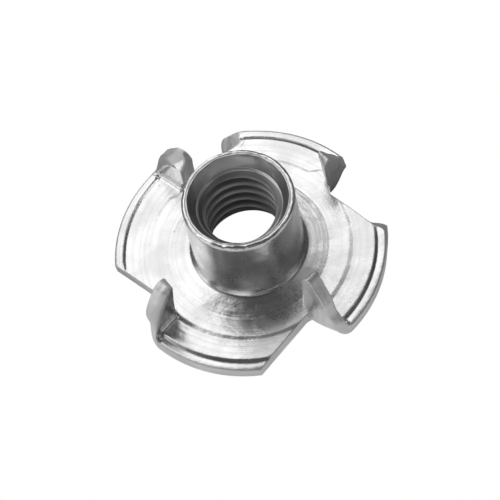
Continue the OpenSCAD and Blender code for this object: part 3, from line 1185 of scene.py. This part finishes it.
def floor_paper(s):
    """The floor's material: plain white to the camera, and to all other rays a grey sheet, a painted
    shade, with a painted glow towards the front.
    """
    paper, tree, place = new_material("floor_paper")
    # for the nut's reflections the sheet has a painted glow towards the front, as if lit from below
    y = node(tree, "ShaderNodeSeparateXYZ", [(0, place)]).outputs["Y"]
    lit = smooth_range(tree, y, GLOW_START, GLOW_END, 0.0, s.floor_glow)
    sheet = principled(tree, Base_Color=tuple(s.floor_shade_colour), Roughness=0.9,
                       Emission_Color=WHITE, Emission_Strength=lit)
    plain = node(tree, "ShaderNodeEmission", [("Color", WHITE), ("Strength", 1.0)])
    is_camera = node(tree, "ShaderNodeLightPath").outputs["Is Camera Ray"]
    mix = node(tree, "ShaderNodeMixShader", [
        (0, is_camera), (1, sheet.outputs[0]), (2, plain.outputs[0])])
    put(tree, tree.nodes["Material Output"].inputs["Surface"], mix.outputs[0])
    return paper


def build_floor(s):
    """A square sheet under the nut."""
    half = s.floor_size / 2
    mesh = bpy.data.meshes.new("floor")
    mesh.from_pydata([(-half, -half, 0), (half, -half, 0), (half, half, 0), (-half, half, 0)],
                     [], [(0, 1, 2, 3)])
    floor = add_object("floor", mesh)
    floor.location.z = -FLOOR_GAP
    mesh.materials.append(floor_paper(s))


def build_surroundings(scene):
    """A world that is white to the camera and dim for the nut."""
    world = bpy.data.worlds.new("studio")
    world.use_nodes = True
    tree = world.node_tree
    is_camera = node(tree, "ShaderNodeLightPath").outputs["Is Camera Ray"]
    back = tree.nodes["Background"].inputs
    put(tree, back["Strength"], smooth_range(tree, is_camera, 0.0, 1.0, WORLD_LIGHT))
    put(tree, back["Color"], WHITE)
    scene.world = world


def build_panel(scene, name, azimuth, elevation, distance, width, height, strength):
    """A soft panel of light that faces the nut."""
    data = bpy.data.lights.new(name, "AREA")
    data.shape = "RECTANGLE"
    data.size, data.size_y = width, height
    data.energy = strength * width * height * math.pi
    light = bpy.data.objects.new(name, data)
    scene.collection.objects.link(light)
    d = direction(azimuth * DEG, elevation * DEG)
    light.location = d * distance
    light.rotation_euler = d.to_track_quat("Z", "Y").to_euler()


def build_camera(scene, s):
    """A long lens that looks along its azimuth and elevation, rolled and moved a little aside."""
    d = direction(s.azimuth, s.elevation)
    across = Vector((0, 0, 1)).cross(d).normalized()
    upward = d.cross(across)
    right = across * math.cos(s.roll) + upward * math.sin(s.roll)
    up = upward * math.cos(s.roll) - across * math.sin(s.roll)
    data = bpy.data.cameras.new("camera")
    data.lens = s.lens
    data.sensor_width = SENSOR
    data.clip_start, data.clip_end = NEAR, FAR
    camera = bpy.data.objects.new("camera", data)
    scene.collection.objects.link(camera)
    place = Matrix.Translation(d * s.distance + right * s.aim_right + up * s.aim_up)
    camera.matrix_world = place @ Matrix((right, up, d)).transposed().to_4x4()
    scene.camera = camera


class TEENUT_OT_build_stage(bpy.types.Operator):
    """Build the stage: pale floor with its glow, surroundings, soft panels and the camera"""
    bl_idname = "teenut.build_stage"
    bl_label = "Build Stage"

    def execute(self, context):
        scene = context.scene
        s = scene.tee_nut_stage
        build_floor(s)
        build_surroundings(scene)
        for panel in PANELS:
            build_panel(scene, *panel)
        build_camera(scene, s)
        scene.view_settings.view_transform = "Standard"
        return {"FINISHED"}


# ---------------------------------------------------------------- the add-on

class TEENUT_PT_panel(bpy.types.Panel):
    """Sidebar panel with the sizes, the finish and the two build steps"""
    bl_idname = "TEENUT_PT_panel"
    bl_label = "Tee Nut"
    bl_space_type = "VIEW_3D"
    bl_region_type = "UI"
    bl_category = "Tee Nut"

    def draw(self, context):
        scene = context.scene
        for title, group, operator in (
                ("Nut", scene.tee_nut_sizes, TEENUT_OT_build_nut.bl_idname),
                ("Finish", scene.tee_nut_finish, None),
                ("Stage", scene.tee_nut_stage, TEENUT_OT_build_stage.bl_idname)):
            box = self.layout.box()
            box.label(text=title)
            for key in group.bl_rna.properties.keys():
                if key not in ("rna_type", "name"):
                    box.prop(group, key)
            if operator:
                box.operator(operator)


GROUPS = {"tee_nut_sizes": TeeNutSizes, "tee_nut_finish": TeeNutFinish, "tee_nut_stage": TeeNutStage}
CLASSES = (*GROUPS.values(), TEENUT_OT_build_nut, TEENUT_OT_build_stage, TEENUT_PT_panel)


def register():
    """Adds the classes, and the settings to the scene."""
    for each in CLASSES:
        bpy.utils.register_class(each)
    for name, group in GROUPS.items():
        setattr(bpy.types.Scene, name, bpy.props.PointerProperty(type=group))


def unregister():
    """Takes the settings and the classes away again."""
    for name in GROUPS:
        delattr(bpy.types.Scene, name)
    for each in reversed(CLASSES):
        bpy.utils.unregister_class(each)


def main():
    """Builds the nut and its stage."""
    register()
    bpy.ops.teenut.build_nut()
    bpy.ops.teenut.build_stage()


if __name__ == "__main__":
    main()
